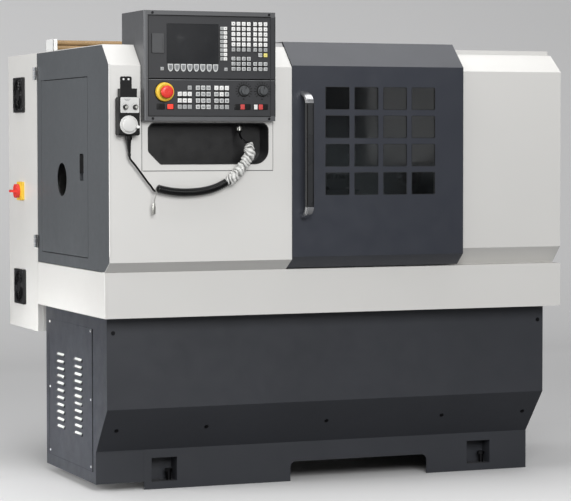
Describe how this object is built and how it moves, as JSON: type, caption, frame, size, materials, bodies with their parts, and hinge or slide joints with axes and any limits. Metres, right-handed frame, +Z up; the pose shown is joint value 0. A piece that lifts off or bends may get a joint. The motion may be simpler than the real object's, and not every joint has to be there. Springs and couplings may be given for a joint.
{
  "type": "cnc turning lathe",
  "caption": "Flat-bed turning lathe in a white sheet-metal enclosure with a dark sliding door, hanging control box, hand pendant on a coiled cord and a dark welded base.",
  "frame": {"origin": "on the floor, at the centre of the four anchor holes in the base's feet", "axes": "+X along the spindle towards the tailstock, -Y towards the operator, +Z up"},
  "size_m": [1.6955, 1.272, 1.574],
  "materials": {
    "white_paint": "satin white powder coat",
    "charcoal_paint": "textured charcoal powder coat",
    "dark_paint": "satin dark grey powder coat",
    "side_paint": "satin dark grey paint",
    "grey_paint": "satin mid grey paint",
    "panel_plastic": "matt dark membrane panel",
    "key_plastic": "satin moulded keys",
    "screen_glass": "dark display glass",
    "window_glass": "laminated sight glass",
    "yellow_plastic": "yellow moulded plastic",
    "red_plastic": "red moulded plastic",
    "black_plastic": "matt black moulded plastic",
    "grey_plastic": "matt grey moulded plastic",
    "white_plastic": "white moulded plastic",
    "cord_rubber": "matt black polyurethane jacket",
    "film": "clear packing film",
    "machined_steel": "ground and turned steel",
    "zinc_steel": "bright zinc plate",
    "cast_iron": "painted grey cast iron",
    "ceramic": "bare ceramic tube",
    "belt_rubber": "black belt rubber"
  },
  "bodies": {
    "machine": {"base_cabinet": "charcoal_paint", "levelling_bolts": "zinc_steel", "louver_cover": "charcoal_paint", "cover_screws": "zinc_steel", "chip_tray": "white_paint", "coolant_tank": "charcoal_paint", "left_cover": "white_paint", "service_panel": "white_paint", "storage_tub": "black_plastic", "side_panel": "side_paint", "right_cover": "white_paint", "rear_cover": "white_paint", "door_frame": "white_paint", "electrical_cabinet": "white_paint", "drive_units": "grey_plastic", "brake_resistor": "ceramic", "control_box": "grey_paint", "control_faces": "panel_plastic", "screen": "screen_glass", "keypad": "key_plastic", "estop_collar": "yellow_plastic", "pendant_holder": "black_plastic", "pendant_body": "black_plastic", "cable_gland": "black_plastic", "pendant_cable": "cord_rubber", "pendant_coil": "cord_rubber", "film_wrap": "film", "cable_plug": "zinc_steel", "earth_lead": "white_plastic", "bed": "cast_iron", "headstock": "cast_iron", "drive_motors": "black_plastic", "drive_belt": "belt_rubber"},
    "door": {"sliding_door": "dark_paint", "door_glass": "window_glass", "door_handle": "dark_paint"},
    "side_door_leaf": {"side_door": "side_paint"},
    "latch_paddle": {"side_latch": "black_plastic"},
    "cabinet_door_leaf": {"cabinet_door": "white_paint", "fan_guards": "black_plastic", "switch_plate": "yellow_plastic"},
    "upper_fan": {"fan_rotor_upper": "black_plastic"},
    "lower_fan": {"fan_rotor_lower": "black_plastic"},
    "main_switch": {"switch_handle": "red_plastic"},
    "port_flap": {"port_cover": "grey_plastic"},
    "estop_head": {"estop_button": "red_plastic"},
    "speed_knob": {"speed_dial": "black_plastic"},
    "feed_knob": {"feed_dial": "black_plastic"},
    "axis_knob": {"axis_selector": "black_plastic"},
    "step_knob": {"step_selector": "black_plastic"},
    "pulse_wheel": {"pendant_dial": "white_plastic"},
    "spindle_line": {"spindle": "machined_steel", "chuck": "machined_steel"},
    "motor_rotor": {"motor_pulley": "machined_steel"},
    "saddle": {"carriage": "cast_iron"},
    "lead_screw": {"ball_screw": "machined_steel"},
    "cross_table": {"cross_slide": "machined_steel"},
    "tool_turret": {"tool_post": "machined_steel"},
    "tail_body": {"tailstock": "cast_iron"},
    "tail_quill": {"tailstock_quill": "machined_steel"}
  },
  "joints": [
    {"name": "door_slide", "type": "slide", "parent": "machine", "child": "door", "axis": [1, 0, 0], "range_m": [0, 0.39]},
    {"name": "side_door_swing", "type": "hinge", "parent": "machine", "child": "side_door_leaf", "pos_m": [-0.845, 0.2224, 1.0725], "axis": [0, 0, -1], "range_deg": [0, 90]},
    {"name": "side_latch_tip", "type": "hinge", "parent": "side_door_leaf", "child": "latch_paddle", "pos_m": [-0.845, -0.2445, 1.109], "axis": [0, 1, 0], "range_deg": [0, 40]},
    {"name": "cabinet_door_swing", "type": "hinge", "parent": "machine", "child": "cabinet_door_leaf", "pos_m": [-0.859, 0.284, 0.98], "axis": [0, 0, 1], "range_deg": [0, 90]},
    {"name": "upper_fan_spin", "type": "hinge", "parent": "cabinet_door_leaf", "child": "upper_fan", "pos_m": [-0.851, 0.502, 1.325], "axis": [1, 0, 0], "continuous": true},
    {"name": "lower_fan_spin", "type": "hinge", "parent": "cabinet_door_leaf", "child": "lower_fan", "pos_m": [-0.851, 0.502, 0.639], "axis": [1, 0, 0], "continuous": true},
    {"name": "main_switch_turn", "type": "hinge", "parent": "cabinet_door_leaf", "child": "main_switch", "pos_m": [-0.851, 0.488, 0.982], "axis": [1, 0, 0], "range_deg": [0, 90]},
    {"name": "port_flap_swing", "type": "hinge", "parent": "machine", "child": "port_flap", "pos_m": [-0.7165, -0.5755, 1.47], "axis": [0, 0, -1], "range_deg": [0, 110]},
    {"name": "estop_press", "type": "slide", "parent": "machine", "child": "estop_head", "axis": [0, 1, 0], "range_m": [0, 0.006]},
    {"name": "speed_dial_turn", "type": "hinge", "parent": "machine", "child": "speed_knob", "pos_m": [-0.4035, -0.5725, 1.321], "axis": [0, 1, 0], "range_deg": [-150, 150]},
    {"name": "feed_dial_turn", "type": "hinge", "parent": "machine", "child": "feed_knob", "pos_m": [-0.3395, -0.5725, 1.321], "axis": [0, 1, 0], "range_deg": [-150, 150]},
    {"name": "axis_selector_turn", "type": "hinge", "parent": "machine", "child": "axis_knob", "pos_m": [-0.81, -0.583, 1.266], "axis": [0, 1, 0], "range_deg": [-60, 60]},
    {"name": "step_selector_turn", "type": "hinge", "parent": "machine", "child": "step_knob", "pos_m": [-0.777, -0.583, 1.266], "axis": [0, 1, 0], "range_deg": [-60, 60]},
    {"name": "pulse_wheel_turn", "type": "hinge", "parent": "machine", "child": "pulse_wheel", "pos_m": [-0.798, -0.583, 1.21], "axis": [0, 1, 0], "continuous": true},
    {"name": "spindle_spin", "type": "hinge", "parent": "machine", "child": "spindle_line", "pos_m": [-0.451, -0.016, 1.03], "axis": [1, 0, 0], "continuous": true},
    {"name": "motor_spin", "type": "hinge", "parent": "machine", "child": "motor_rotor", "pos_m": [-0.751, -0.016, 0.4], "axis": [1, 0, 0], "continuous": true},
    {"name": "carriage_travel", "type": "slide", "parent": "machine", "child": "saddle", "axis": [1, 0, 0], "range_m": [-0.12, 0.17]},
    {"name": "screw_turn", "type": "hinge", "parent": "machine", "child": "lead_screw", "pos_m": [0.149, -0.199, 0.775], "axis": [1, 0, 0], "range_deg": [-4400, 6200]},
    {"name": "cross_slide_travel", "type": "slide", "parent": "saddle", "child": "cross_table", "axis": [0, 1, 0], "range_m": [-0.07, 0.05]},
    {"name": "tool_post_index", "type": "hinge", "parent": "cross_table", "child": "tool_turret", "pos_m": [0.094, -0.145, 0.98], "axis": [0, 0, 1], "continuous": true},
    {"name": "tailstock_travel", "type": "slide", "parent": "machine", "child": "tail_body", "axis": [1, 0, 0], "range_m": [-0.18, 0.04]},
    {"name": "quill_travel", "type": "slide", "parent": "tail_body", "child": "tail_quill", "axis": [-1, 0, 0], "range_m": [0, 0.06]}
  ],
  "couplings": [
    {"joint": "motor_spin", "follows": "spindle_spin", "ratio": 1.25},
    {"joint": "screw_turn", "follows": "carriage_travel", "rad_per_m": 628.32}
  ]
}
